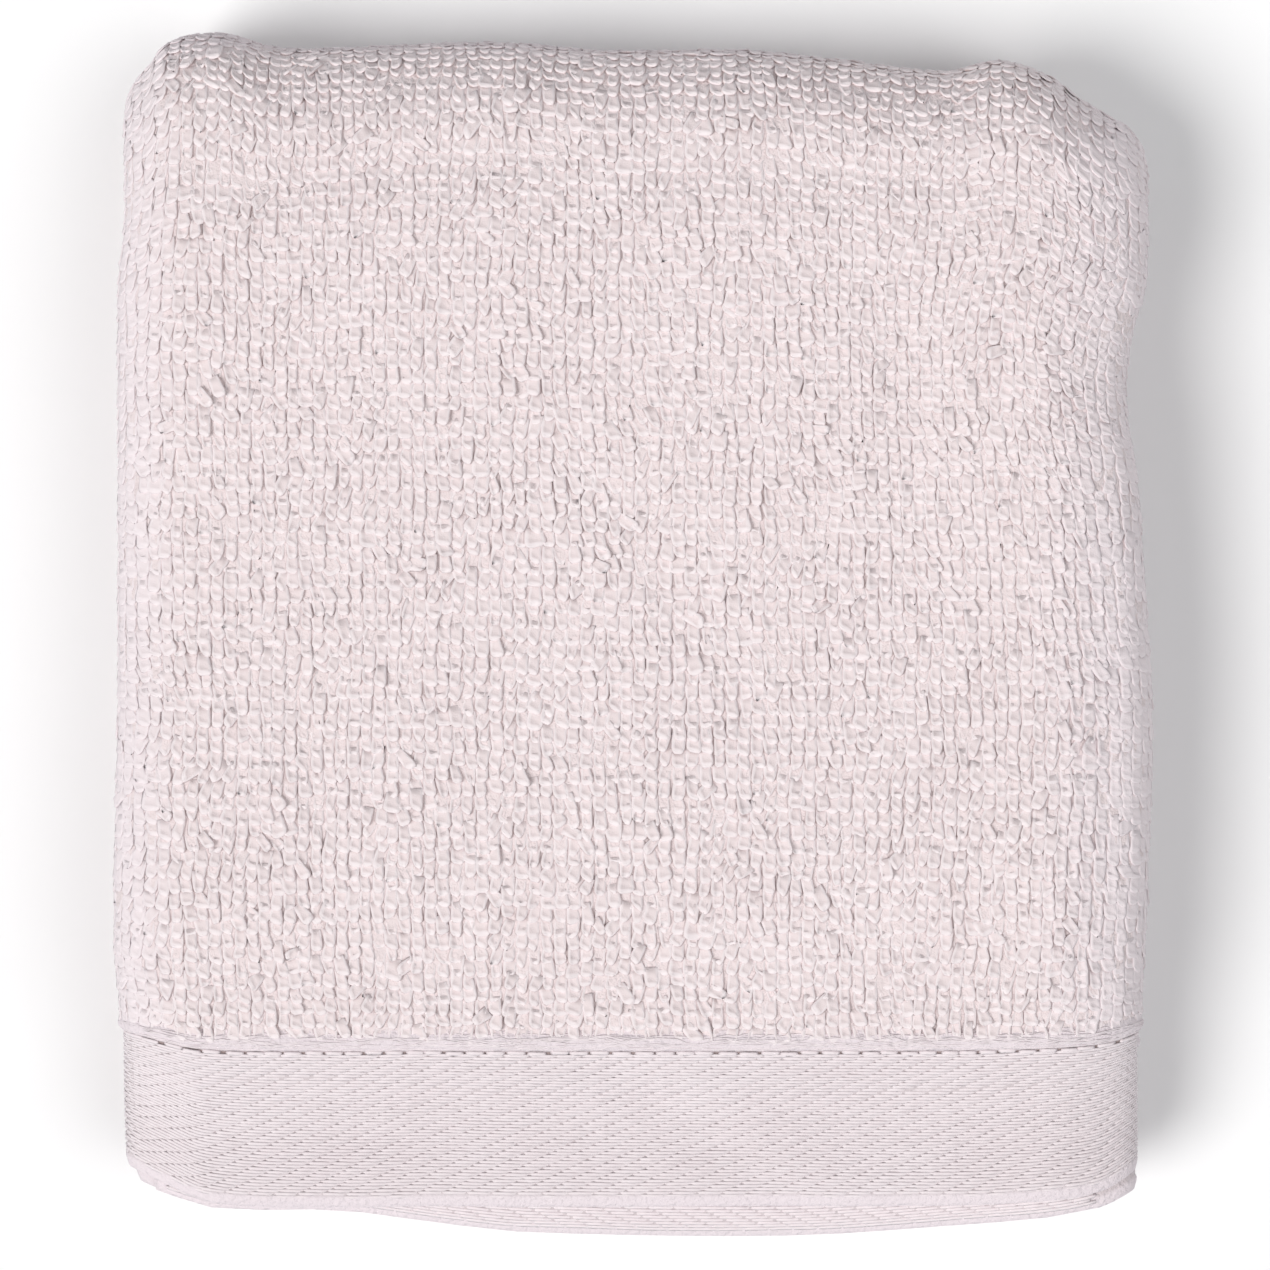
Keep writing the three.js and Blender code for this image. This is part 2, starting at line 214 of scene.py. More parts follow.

# %% [markdown]
# ## How the stack has settled
# A folded towel isn't an even block. Its sides roll down, its back edge bulges and leans, its
# hems stray and its two ends sink over the round fold below them. These marks are the CAD
# model's, with the hems and the left back corner read once more from the towel. Two things are
# only here. The ends of the lower front fold are drawn in, so that they stay under the border.
# And the top has creases: each is a soft trough or ridge between two points, with a width and
# a depth, placed where the light shows it on the real towel.

# %% Marks of the outline
LEFT_OUT = [
    (-77, -3.8), (-70, -2.6), (-62, -2.1), (-54, -1.9), (-48, -1.7), (-38, -0.9),
    (-10, -1.3), (30, -1.4), (50, -1.5), (60, -2.2), (77, -1.8),
]
RIGHT_OUT = [
    (-77, -2.2), (-54, -2), (-46, -1.5), (-30, -0.8), (-10, -0.2), (6, -1),
    (20, -2), (36, -3.7), (47, -2.7), (56, -1), (77, -0.6),
]
BACK_OUT = [
    (-68, -4.8), (-64.6, -2), (-63, 0.2), (-60, 1.3), (-55, 1.4), (-50, 0.1),
    (-46, -0.5), (-18, 0.4), (-5, -0.6), (15, -0.7), (26, -1.8), (41, -3.4),
    (48, -2), (54, -3.6), (60, -7.6), (68, -11.6),
]
UPPER_HEM = [
    (-68, -7), (-63, -4.8), (-57, -2.3), (-40, -1.7), (-26, -1.9), (-14, -1.8),
    (20, -1.9), (44, -2), (56, -2.6), (63, -3.6), (68, -6.2),
]
LOWER_HEM = [
    (-68, -7.2), (-63, -5.4), (-57, -3.8), (-40, -3.6), (-26, -1.9), (-14, -0.6),
    (20, -0.1), (44, -1.6), (56, -2.6), (63, -3.8), (68, -6),
]
FRONT_IN = [
    (-68, 5), (-62, 3.8), (-56, 2.4), (-40, 2), (-28, 0.8), (-18, 0),
    (44, 0), (52, 0.6), (58, 1.4), (63, 2.4), (68, 4.2),
]
STRAY_LEFT = [(0, -0.9), (8, -0.2), (17, -0.7), (26, 0), (36, -0.3)]
STRAY_RIGHT = [(0, -0.7), (8, -1), (17, 0), (26, -0.4), (36, -0.9)]
STRAY_BACK = [(0, -0.6), (8, 0.5), (17, 0.9), (26, -0.3), (36, -1.6)]
SWELL = [(-60, -0.01), (-30, 0.012), (5, -0.006), (38, 0.014), (66, 0)]
ROLL_LEFT = (11, 0.14)
ROLL_RIGHT = (15, 0.18)
ROLL_ROUND = 0.8
BACK_PRESS = (26, 0.05)
CROWN = 0.035
HALF_WIDTH = 68
BEND_FROM = 12
HEM_STRAY_REACH = 40
FRONT_IN_FROM, FRONT_IN_OVER = -58, 14
CENTRING = (-0.37, -1.23)

# Creases of the top layer: from x, y to x, y, then half width and depth, negative for a ridge
CREASES = [
    (-6, -54, 18, -73, 3.2, 0.5),
    (3, -54, 28, -73, 3.6, -0.3),
    (-2, 17, 16, -10, 4.5, 0.5),
    (-42, -10, -39, -33, 4, 0.45),
    (32, 44, 36, 12, 4.5, 0.45),
    (59, 38, 60, -40, 3, 0.35),
    (-50, -44, 48, -45, 7, 0.5),
    (-56, 58, -10, 62, 3, 0.45),
    (4, 60, 44, 58, 3.2, 0.4),
]


# %% Settle a point of the even stack
def roll_down(from_side, roll):
    """Share of the height lost near a long side, like the edge of a cushion."""
    reach, share = roll
    t = ROLL_ROUND * np.clip(1 - from_side / reach, 0, 1)
    return share * (1 - np.sqrt(1 - t * t)) / (1 - math.sqrt(1 - ROLL_ROUND**2))


def crease_depth(x, y):
    """How far the creases sink the top at a place seen from above."""
    depth = np.zeros_like(x)
    for x0, y0, x1, y1, half, deep in CREASES:
        run_x, run_y = x1 - x0, y1 - y0
        length2 = run_x**2 + run_y**2
        t = np.clip(((x - x0) * run_x + (y - y0) * run_y) / length2, 0, 1)
        aside = np.hypot(x - x0 - t * run_x, y - y0 - t * run_y)
        depth += deep * np.exp(-((aside / half) ** 2))
    return depth


def settle(x, y, z, top):
    to_left = ease((-x - BEND_FROM) / (HALF_WIDTH - BEND_FROM))
    to_right = ease((x - BEND_FROM) / (HALF_WIDTH - BEND_FROM))
    to_back = ease((y - BEND_FROM) / (BACK_EDGE - BEND_FROM))
    left_out = smooth(LEFT_OUT, y) + smooth(STRAY_LEFT, z)
    right_out = smooth(RIGHT_OUT, y) + smooth(STRAY_RIGHT, z)
    back_out = smooth(BACK_OUT, x) + smooth(STRAY_BACK, z)
    reach, share = BACK_PRESS
    press = share * ease((y - BACK_EDGE + reach) / reach)
    middle = CROWN * (1 - (x / HALF_WIDTH) ** 2) * (1 - (y / BACK_EDGE) ** 2)
    rolled = roll_down(HALF_WIDTH + x, ROLL_LEFT) + roll_down(HALF_WIDTH - x, ROLL_RIGHT)
    height = (1 - rolled) * (1 - press) * (1 + middle + smooth(SWELL, y))
    new_x = x + to_right * right_out - to_left * left_out + CENTRING[0]
    new_y = y + to_back * back_out + CENTRING[1]
    return new_x, new_y, z * height - top * crease_depth(new_x, new_y)


# %% The whole map, from the flat cloth to the folded one
def end_thickness(from_end):
    return straight(BORDER_THICKNESS, from_end)


def thinner_by(from_end):
    """How much lower a border lies than pile would."""
    return STRIP_HALF - pitch_at(from_end) - end_thickness(from_end) / 2


def cloth_point(across, along, off):
    """Places in metres of points given on the flat cloth, and off its middle, in millimetres."""
    across, along, off = np.broadcast_arrays(across, along, off)
    from_end = np.minimum(along, CLOTH_LENGTH - along)
    side_x, side_m, out_x, out_m = fold_across(across, pitch_at(from_end))
    way_y, way_z, heading, part = way_point(along)
    x = side_x + off * out_x
    m = side_m + off * out_m
    is_upper = part == LAST_PART
    is_lower = part == 0
    upper_stray = smooth(UPPER_HEM, x)
    lower_stray = smooth(LOWER_HEM, x)
    near_end = np.where(is_upper | is_lower, ease(1 - from_end / HEM_STRAY_REACH), 0)
    apart = UPPER_END - LOWER_END + (lower_stray - upper_stray) * near_end
    near_front = np.where((part > 1) & (part < 5), ease((FRONT_IN_FROM - way_y) / FRONT_IN_OVER), 0)
    y = way_y + m * np.sin(heading) + smooth(FRONT_IN, x) * near_front
    y = y - np.where(is_upper, upper_stray, lower_stray) * near_end
    droop = END_DROOP * np.maximum(FRONT_CENTRE - y, 0) ** 2
    sink_lower = thinner_by(from_end) + droop
    sink_upper = 2 * thinner_by(from_end + apart) + thinner_by(from_end) + droop
    sink = np.where(is_upper, sink_upper, np.where(is_lower, sink_lower, 0))
    z = way_z - m * np.cos(heading) - sink
    top = np.where(part >= LAST_PART - 1, ease(m / PITCH), 0)
    return np.stack(settle(x, y, z, top), -1) * 0.001


corner_points = cloth_point(np.array([130.0, 270.0, 200.0]), np.array([599.0, 560.0, 440.0]), 1.3)
print("three points of the face, mm:", np.round(corner_points * 1000, 1).tolist())

# %% [markdown]
# ## From arrays to a mesh
# The cloth, its thousands of loops and its border yarns are all made as arrays of points and
# faces. Giving Blender the whole array in one call is far quicker than adding one
# loop at a time. Each corner also gets a place on the UV map, which the materials read.

# %% Make a mesh from arrays
CLOTH_NAME = "towel_cloth"
UV_MM = 100.0
pieces = []


def make_piece(name, points, faces, corner_uv):
    """A smooth-shaded piece that rides with the towel. Faces come as one array for each size."""
    corners = np.concatenate([group.ravel() for group in faces])
    sizes = np.concatenate([np.full(len(group), group.shape[1]) for group in faces])
    starts = np.cumsum(sizes) - sizes
    mesh = bpy.data.meshes.new(name)
    mesh.vertices.add(len(points))
    mesh.vertices.foreach_set("co", points.astype(np.float32).ravel())
    mesh.loops.add(len(corners))
    mesh.loops.foreach_set("vertex_index", corners.astype(np.int32))
    mesh.polygons.add(len(sizes))
    mesh.polygons.foreach_set("loop_start", starts.astype(np.int32))
    mesh.polygons.foreach_set("loop_total", sizes.astype(np.int32))
    mesh.update(calc_edges=True)
    mesh.polygons.foreach_set("use_smooth", np.ones(len(sizes), bool))
    layer = mesh.uv_layers.new(name="UVMap")
    uv = np.concatenate([group.reshape(-1, 2) for group in corner_uv])
    layer.data.foreach_set("uv", uv.astype(np.float32).ravel())
    piece = bpy.data.objects.new(name, mesh)
    bpy.context.scene.collection.objects.link(piece)
    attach(piece, "root")
    pieces.append(piece)
    volume = sum(signed_volume(points, group) for group in faces)
    print(f"{name}: {(sizes - 2).sum()} triangles, volume {volume * 1e9:.0f} mm3")
    return piece


def signed_volume(points, group):
    """Above zero when the faces of closed shapes point outwards."""
    first = points[group[:, 0]]
    total = 0.0
    for k in range(1, group.shape[1] - 1):
        second, third = points[group[:, k]], points[group[:, k + 1]]
        total += np.einsum("ij,ij->", first, np.cross(second, third))
    return float(total / 6)


# %% [markdown]
# ## Where the pile is rubbed flat
# On the side folds and on the back fold the towel has been handled, and its loops lie pressed
# and fluffy, so those bands look smooth. Smooth random waves make their borders stray. The
# same waves serve further down, wherever something drifts slowly over the cloth.

# %% Waves over the cloth, and how far each place is rubbed
WAVE_REACH = (420, 620)
RUBBED_STRAY = (1.2, 5, 15)
# Where the rubbed bands begin across and along the cloth, and over how far they fade
RUBBED_RIGHT = (256, 7)
RUBBED_LEFT = (139, 7)
RUBBED_BACK_FROM = (420, 8)
RUBBED_BACK_TO = (454, 5)


def waves(across, along, size, seed):
    """Random swells about size millimetres wide, between -1 and 1."""
    knots = [int(reach / size) + 3 for reach in WAVE_REACH]
    lattice = np.random.default_rng(seed).uniform(-1, 1, knots)
    u, v = across / size, along / size
    i, j = u.astype(int), v.astype(int)
    s, t = ease(u - i), ease(v - j)
    near = lattice[i, j] * (1 - t) + lattice[i, j + 1] * t
    far = lattice[i + 1, j] * (1 - t) + lattice[i + 1, j + 1] * t
    return near * (1 - s) + far * s


def sway(kind, across, along):
    """Waves of one kind: how high, how wide in mm, and the seed."""
    high, size, seed = kind
    return high * waves(across, along, size, seed)


def rubbed_share(across, along):
    """How far the loops are pressed flat: on the folds, where the towel rubs."""
    stray = sway(RUBBED_STRAY, across, along)
    (right, right_over), (left, left_over) = RUBBED_RIGHT, RUBBED_LEFT
    (start, start_over), (end, end_over) = RUBBED_BACK_FROM, RUBBED_BACK_TO
    sides = ease((across + stray - right) / right_over) + ease((left + stray - across) / left_over)
    back = ease((end + stray - along) / end_over) * ease((along - start) / start_over)
    return np.clip(np.maximum(sides, back), 0, 1)


# %% [markdown]
# ## The cloth itself
# Between the loops of terry lies a thin ground weave. Here the cloth is one closed sheet on the
# fold map, with the loops' own height left free above it, and a little room under the yarns
# of the border. In the hidden flaps it has nearly its full thickness. Near the border it
# is sampled finely, because the ridge that ends the pile is a roll of packed yarn.

# %% Where the cloth is sampled
VISIBLE_ACROSS = (126.4, 271.8)
GROUND_HALF = 0.74
HIDDEN_SHARE = 0.92
HEM_EDGE = 1.6
RIDGE_FROM, RIDGE_TO = 21.6, 24.4
RIDGE_HALF = 1.3
WEAVE_ROOM = 0.24
FLUFF_HIGH = 0.05
GUTTER = (21.35, 0.3, 0.25)
SEEN_BLEND = 2
YARN_BLEND = 0.4

# Where samples lie: closer where the cloth bends, further apart where it is hidden
PLAIN_FACE = (132, 261.5)
HEM_MARKS = (1.2, 3)
PILE_FROM = 26
END_RUNS = [(0, 3.5, 0.5), (3.5, 20.9, 1.9), (20.9, PILE_FROM, 0.3)]
LEFT_STEP, FACE_STEP, RIGHT_STEP, HIDDEN_STEP = 0.8, 3, 1.1, 7
FOLD_STEP, BACK_STEP, TOP_STEP, BOTTOM_STEP = 1.4, 1.5, 4, 6
WOVEN_HALF = [(0, 0.36), (0.9, 0.62), (1.6, 0.68), (17.6, 0.62), (25, 0.62)]


def even_steps(start, end, step):
    count = max(1, round((end - start) / step))
    return np.linspace(start, end, count + 1)


def join_samples(*runs):
    places = np.unique(np.round(np.concatenate(runs), 4))
    return places[np.concatenate([[True], np.diff(places) > 0.05])]


def samples_across():
    start, end = VISIBLE_ACROSS
    low, high = PLAIN_FACE
    flaps = [even_steps(0, start, HIDDEN_STEP), even_steps(end, CLOTH_WIDTH, HIDDEN_STEP)]
    folds = [even_steps(start, low, LEFT_STEP), even_steps(high, end, RIGHT_STEP)]
    hems = np.array([*HEM_MARKS, *(CLOTH_WIDTH - mark for mark in HEM_MARKS)])
    return join_samples(*flaps, *folds, even_steps(low, high, FACE_STEP), hems)


def samples_along():
    ends = np.concatenate([even_steps(*run) for run in END_RUNS])
    turns = [
        even_steps(WAY_ENDS[0], WAY_ENDS[1], FOLD_STEP),
        even_steps(WAY_ENDS[2], WAY_ENDS[3], FOLD_STEP),
        even_steps(WAY_ENDS[4], WAY_ENDS[7], BACK_STEP),
    ]
    upper = even_steps(WAY_ENDS[7], CLOTH_LENGTH - PILE_FROM, TOP_STEP)
    strips = [
        even_steps(PILE_FROM, WAY_ENDS[0], HIDDEN_STEP),
        even_steps(WAY_ENDS[1], WAY_ENDS[2], HIDDEN_STEP),
        even_steps(WAY_ENDS[3], WAY_ENDS[4], BOTTOM_STEP),
    ]
    return join_samples(ends, CLOTH_LENGTH - ends, *turns, upper, *strips)


# %% How far the faces of the cloth lie off its middle
def hem_share(across):
    """Thinner towards the side edges of the cloth."""
    return straight(SIDE_HEM, np.minimum(across, CLOTH_WIDTH - across))


def back_half(across, from_end):
    """Half thickness of the inner face, which the folds hide."""
    return end_thickness(from_end) / 2 * hem_share(across) * HIDDEN_SHARE


def face_half(across, from_end, rubbed):
    """Half thickness of the outer face, with room left for the loops and the woven yarns."""
    full = back_half(across, from_end)
    start, end = VISIBLE_ACROSS
    from_left = ease((across - start + SEEN_BLEND) / SEEN_BLEND)
    seen = from_left * ease((end + SEEN_BLEND - across) / SEEN_BLEND)
    under_yarns = ease((from_end - HEM_EDGE) / YARN_BLEND) * WEAVE_ROOM
    middle, half, depth = GUTTER
    gutter = depth * ease(1 - np.abs(from_end - middle) / half)
    woven = straight(WOVEN_HALF, from_end) - under_yarns - gutter
    t = np.clip((from_end - RIDGE_FROM) / (RIDGE_TO - RIDGE_FROM), 0, 1)
    roll = RIDGE_HALF * np.sqrt(np.maximum(1 - (2 * t - 1) ** 2, 0))
    under_pile = GROUND_HALF + FLUFF_HIGH * rubbed
    behind = np.where(from_end > (RIDGE_FROM + RIDGE_TO) / 2, under_pile, woven)
    face = np.maximum(behind, np.where((t > 0) & (t < 1), roll, 0))
    return full * (1 - seen) + face * seen


# %% Build the cloth
def build_cloth():
    across = samples_across()
    along = samples_along()
    grid_along, grid_across = np.meshgrid(along, across, indexing="ij")
    from_end = np.minimum(grid_along, CLOTH_LENGTH - grid_along)
    rubbed = rubbed_share(grid_across, grid_along)
    face = cloth_point(grid_across, grid_along, face_half(grid_across, from_end, rubbed))
    back = cloth_point(grid_across, grid_along, -back_half(grid_across, from_end))
    points = np.concatenate([face.reshape(-1, 3), back.reshape(-1, 3)])
    points[:, 2] = np.maximum(points[:, 2], 0)
    rows, columns = grid_across.shape
    side = rows * columns
    j, i = np.meshgrid(np.arange(rows - 1), np.arange(columns - 1), indexing="ij")
    a = (j * columns + i).ravel()
    front = np.stack([a, a + columns, a + columns + 1, a + 1], 1)
    rear = np.stack([a + side, a + 1 + side, a + columns + 1 + side, a + columns + side], 1)
    up = np.arange(rows - 1) * columns
    low_rim = np.stack([up, up + side, up + columns + side, up + columns], 1)
    far = up + columns - 1
    high_rim = np.stack([far, far + columns, far + columns + side, far + side], 1)
    over = np.arange(columns - 1)
    first_rim = np.stack([over, over + 1, over + 1 + side, over + side], 1)
    top = over + (rows - 1) * columns
    last_rim = np.stack([top, top + side, top + 1 + side, top + 1], 1)
    quads = np.concatenate([front, rear, low_rim, high_rim, first_rim, last_rim])
    flat = np.stack([grid_across.ravel(), grid_along.ravel()], 1) / UV_MM
    uv = np.concatenate([flat, flat])[quads]
    return make_piece(CLOTH_NAME, points, [quads], [uv])


cloth = build_cloth()

# %% [markdown]
# ## One loop of pile
# A pile loop is a short arch of soft yarn. On a pressed towel the loops lie over, all the same
# way, like the scales of a fish: from above each one is a round-ended lobe whose rim is the
# bent yarn, with a shallow hollow between its two legs, and its tip covers the roots of the
# next. One loop is modelled once, as a closed shape with a seven-sided section at five stations
# from root to tip, and the pile is the loop copied. Each copy has its own lean, width, length,
# twist and hollow. A plainer loop without a hollow serves the front fold and the side folds of
# the lower strips, where only its round back is seen. The underside has no loops, but for a
# narrow strip at the back fold. The copies are arrays, because there are thousands of them.

# %% Stations of the loop, from its root to its tip, in millimetres
# Along the cloth, half width, underside, top of the rim, bottom of the hollow
LOOP_STATIONS = np.array([
    (-1.40, 0.84, -0.60, 0.04, 0.00),
    (-0.40, 0.87, -0.55, 0.26, 0.10),
    (0.44, 0.88, -0.45, 0.42, 0.12),
    (0.84, 0.80, -0.25, 0.52, 0.48),
    (1.22, 0.50, 0.00, 0.28, 0.30),
])
RIM_PLACE = 0.76
HOLLOW_PLACE = 0.4
EDGE_SHARE = 0.5


def loop_shape(stations, places, kinds):
    """Points round each station. Kinds: 0 edge, 1 rim, 2 hollow, 3 underside."""
    along, half, under, rim, hollow = stations.T
    levels = np.stack([under + EDGE_SHARE * (rim - under), rim, hollow, under])
    across = np.stack([half * place for place in places], 1)
    height = np.stack([levels[kind] for kind in kinds], 1)
    lengthwise = np.repeat(along[:, None], len(places), 1)
    return np.stack([across, lengthwise, height], -1).reshape(-1, 3)


def ring_faces(steps, sides):
    """Side faces and two end faces of a row of rings, with their places on the UV map."""
    k, s = np.meshgrid(np.arange(steps - 1), np.arange(sides), indexing="ij")
    k, s = k.ravel(), s.ravel()
    after = (s + 1) % sides
    ring, next_ring = k * sides, (k + 1) * sides
    quads = np.stack([ring + s, ring + after, next_ring + after, next_ring + s], 1)
    around = np.stack([s, s + 1, s + 1, s], 1) / sides
    length = np.stack([k, k, k + 1, k + 1], 1) / (steps - 1)
    first = np.arange(sides)[::-1]
    caps = np.stack([first, first[::-1] + (steps - 1) * sides])
    ends = np.stack([np.full((2, sides), 0.5), np.repeat([[0.0], [1.0]], sides, 1)], -1)
    return [quads, caps], [np.stack([around, length], -1), ends]


def loop_template(stations, places, kinds):
    """Points, faces, UV places and which points lie in the hollow."""
    faces, uv = ring_faces(len(stations), len(places))
    count = sum((group.shape[1] - 2) * len(group) for group in faces)
    print(f"loop of {len(places)} sides: {count} triangles")
    in_hollow = np.tile(np.array(kinds) == 2, len(stations))
    return loop_shape(stations, places, kinds), faces, uv, in_hollow


FULL_PLACES = (1, RIM_PLACE, HOLLOW_PLACE, -HOLLOW_PLACE, -RIM_PLACE, -1, 0)
FULL_KINDS = (0, 1, 2, 2, 1, 0, 3)
PLAIN_PLACES = (1, 0.6, -0.6, -1, 0)
PLAIN_KINDS = (0, 1, 1, 0, 3)
PLAIN_STATIONS = LOOP_STATIONS[[0, 1, 3, 4]]
full_loop = loop_template(LOOP_STATIONS, FULL_PLACES, FULL_KINDS)
plain_loop = loop_template(PLAIN_STATIONS, PLAIN_PLACES, PLAIN_KINDS)

# %% [markdown]
# ## Unevenness of the pile
# Real loops stand in columns along the length of the cloth, but no two are alike. Their columns
# wander, they turn to one side in little patches, a few are much wider, and a few stand higher
# or are twisted askew. Smooth random waves give the patches, and a seeded generator gives each
# loop its own chance, so that the towel comes out the same on every run. The loops are spaced
# evenly over the outer face of the folded cloth, where they are seen, and not over its middle.

# %% Rulers on the outer face, which is longer than the middle of the cloth round each fold
COLUMN_PITCH = 1.67
ROW_PITCH = 1.77
LOOP_BASE = 0.76
FACE_OFF = 1.2
OUTER = PITCH + FACE_OFF
LEFT_ARC = math.pi * PITCH / 4
RIGHT_ARC = math.pi * PITCH / 2
# From each mark on, how much longer the outer face is than the middle of the cloth
LEFT_LONGER = 1 + 2 * FACE_OFF / PITCH
RIGHT_LONGER = 1 + FACE_OFF / PITCH
FRONT_LONGER = 1 + OUTER / FOLD_RADIUS
BACK_LONGER = 1 + OUTER / OUTER_TURN_RADIUS
ACROSS_MARKS = [
    (0, 1),
    (LEFT_FOLD_LINE - LEFT_ARC, LEFT_LONGER), (LEFT_FOLD_LINE + LEFT_ARC, 1),
    (RIGHT_FOLD_LINE - RIGHT_ARC, RIGHT_LONGER), (RIGHT_FOLD_LINE + RIGHT_ARC, 1),
    (CLOTH_WIDTH, 1),
]
ALONG_MARKS = [
    (0, 1),
    (WAY_ENDS[2], FRONT_LONGER), (WAY_ENDS[3], 1),
    (WAY_ENDS[4], BACK_LONGER), (WAY_ENDS[5], 1),
    (WAY_ENDS[6], BACK_LONGER), (WAY_ENDS[7], 1),
    (CLOTH_LENGTH, 1),
]


def ruler(marks):
    """Places on the cloth, and how far along its outer face each one lies."""
    places, factors = np.array(marks).T
    return places, np.concatenate([[0], np.cumsum(np.diff(places) * factors[:-1])])


def on_face(at, marks):
    places, lengths = ruler(marks)
    return np.interp(at, places, lengths)


def on_cloth(length, marks):
    places, lengths = ruler(marks)
    return np.interp(length, lengths, places)


# %% Lay out the loops of one area
def even_rows(start, end, pitch, marks):
    """Rows a pitch apart on the outer face, between two places on the cloth."""
    first, last = on_face(start, marks), on_face(end, marks)
    return np.arange(math.ceil(first / pitch), math.ceil(last / pitch)) * pitch


def lay_out(across_from, across_to, along_from, along_to):
    """Evenly spaced roots of loops over an area, as lengths on the outer face."""
    columns = even_rows(across_from, across_to, COLUMN_PITCH, ACROSS_MARKS)
    rows = even_rows(along_from, along_to, ROW_PITCH, ALONG_MARKS)
    across, along = np.meshgrid(columns, rows)
    return across.ravel(), along.ravel()


# %% How one loop differs from the next
# Slow sways that neighbours share
SWAY_ACROSS = (0.34, 6, 11)
SWAY_ALONG = (0.34, 5, 12)
SWAY_TURN = (0.3, 6, 13)
SWAY_LIFT = (0.1, 4, 14)
# Each loop's own chance: how strongly it moves, turns or changes the loop
OWN = {
    "across": 0.09, "along": 0.16, "turn": 0.15, "wide": 0.09, "long": 0.1, "lift": 0.09,
    "tilt": 0.16, "pinch": 0.12, "hollow": 0.1, "lean": 0.12, "skew": 0.22,
}
WIDE_RANGE = (0.78, 1.2)
LONG_RANGE = (0.75, 1.3)
HOLLOW_RANGE = (-0.1, 0.14)
# The few odd ones: their place in the draw of lots, and what it does to them
TURNED_LOT = (0.92, 0.5)
RAISED_LOT = (0.93, 0.2)
FAT_LOT = (0.05, 1.4)
SKEW_MEAN = 0.1
SKEW_FROM, SKEW_OVER = -0.4, 1.2
# What rubbing takes from a loop's tilt and height
RUBBED_TILT = 0.6
RUBBED_FLAT = 0.42


def vary_loops(shape, in_hollow, across, along, seed):
    """Points of every copy of a loop: across and along the outer face, and off the cloth."""
    generator = np.random.default_rng(seed)
    chance = dict(zip(OWN, generator.normal(0, 1, (len(OWN), len(across), 1))))
    lot = generator.uniform(0, 1, (len(across), 1))
    own = {kind: OWN[kind] * chance[kind] for kind in OWN}
    across, along = across[:, None], along[:, None]
    rubbed = rubbed_share(on_cloth(across, ACROSS_MARKS), on_cloth(along, ALONG_MARKS))
    turned = np.where(lot > TURNED_LOT[0], TURNED_LOT[1], 0) * chance["lean"]
    turn = sway(SWAY_TURN, across, along) + own["turn"] + turned
    wide = np.clip(1 + own["wide"], *WIDE_RANGE) * np.where(lot < FAT_LOT[0], FAT_LOT[1], 1)
    raised = np.where(lot > RAISED_LOT[0], RAISED_LOT[1], 0)
    lift = own["lift"] + sway(SWAY_LIFT, across, along) + raised
    u, v, w = shape.T[:, None]
    w = np.where(in_hollow, w - np.clip(own["hollow"], *HOLLOW_RANGE), w)
    u = np.where(in_hollow, u + own["lean"] * v, u)
    skew = (SKEW_MEAN + own["skew"]) * np.clip((v - SKEW_FROM) / SKEW_OVER, 0, 1)
    v = v * np.clip(1 + own["long"], *LONG_RANGE) + skew * u
    u = u * wide * (1 + own["pinch"] * v)
    w = (w + lift) * (1 - RUBBED_FLAT * rubbed) + own["tilt"] * (1 - RUBBED_TILT * rubbed) * u
    cos, sin = np.cos(turn), np.sin(turn)
    root_across = across + sway(SWAY_ACROSS, across, along) + own["across"]
    root_along = along + sway(SWAY_ALONG, across, along) + own["along"]
    return root_across + u * cos - v * sin, root_along + u * sin + v * cos, w


def place_loops(name, template, across, along, seed):
    """Copies a loop to every root, each a little different, and puts it on the folded cloth."""
    shape, loop_faces, loop_uv, in_hollow = template
    count = len(across)
    face_across, face_along, w = vary_loops(shape, in_hollow, across, along, seed)
    place_across = on_cloth(face_across, ACROSS_MARKS)
    place_along = on_cloth(face_along, ALONG_MARKS)
    points = cloth_point(place_across, place_along, LOOP_BASE + w).reshape(-1, 3)
    points[:, 2] = np.maximum(points[:, 2], 0)
    offsets = np.arange(count)[:, None, None] * len(shape)
    faces = [(group[None] + offsets).reshape(-1, group.shape[1]) for group in loop_faces]
    uv = [np.tile(group, (count, 1, 1)) for group in loop_uv]
    make_piece(name, points, faces, uv)


# %% Pile of the top, the back fold and the front fold
PILE_END = CLOTH_LENGTH - 24.1
TOP_FROM = WAY_ENDS[7]
TOP_THIRD = (PILE_END - TOP_FROM) / 3
FACE_FROM, FACE_TO = 127.4, 270.9
UNDER_EDGE = WAY_ENDS[4] - 5

for number in range(3):
    start = TOP_FROM + number * TOP_THIRD
    roots = lay_out(FACE_FROM, FACE_TO, start, start + TOP_THIRD)
    place_loops(f"pile_top_{number + 1}", full_loop, *roots, seed=21 + number)
back_roots = lay_out(FACE_FROM, FACE_TO, UNDER_EDGE, TOP_FROM)
front_roots = lay_out(FACE_FROM, FACE_TO, WAY_ENDS[2], WAY_ENDS[3])
place_loops("pile_back_fold", full_loop, *back_roots, seed=31)
place_loops("pile_front_fold", plain_loop, *front_roots, seed=32)

# %% Pile of the side folds of the lower strips
LEFT_FOLD = (127.0, 133.4)
RIGHT_FOLD = (260.2, 271.2)
SIDE_RUNS = [(PILE_FROM, WAY_ENDS[2]), (WAY_ENDS[3], UNDER_EDGE)]


def side_roots(fold):
    parts = [lay_out(*fold, start, end) for start, end in SIDE_RUNS]
    return np.concatenate([p[0] for p in parts]), np.concatenate([p[1] for p in parts])


place_loops("pile_left_side", plain_loop, *side_roots(LEFT_FOLD), seed=41)
place_loops("pile_right_side", plain_loop, *side_roots(RIGHT_FOLD), seed=42)

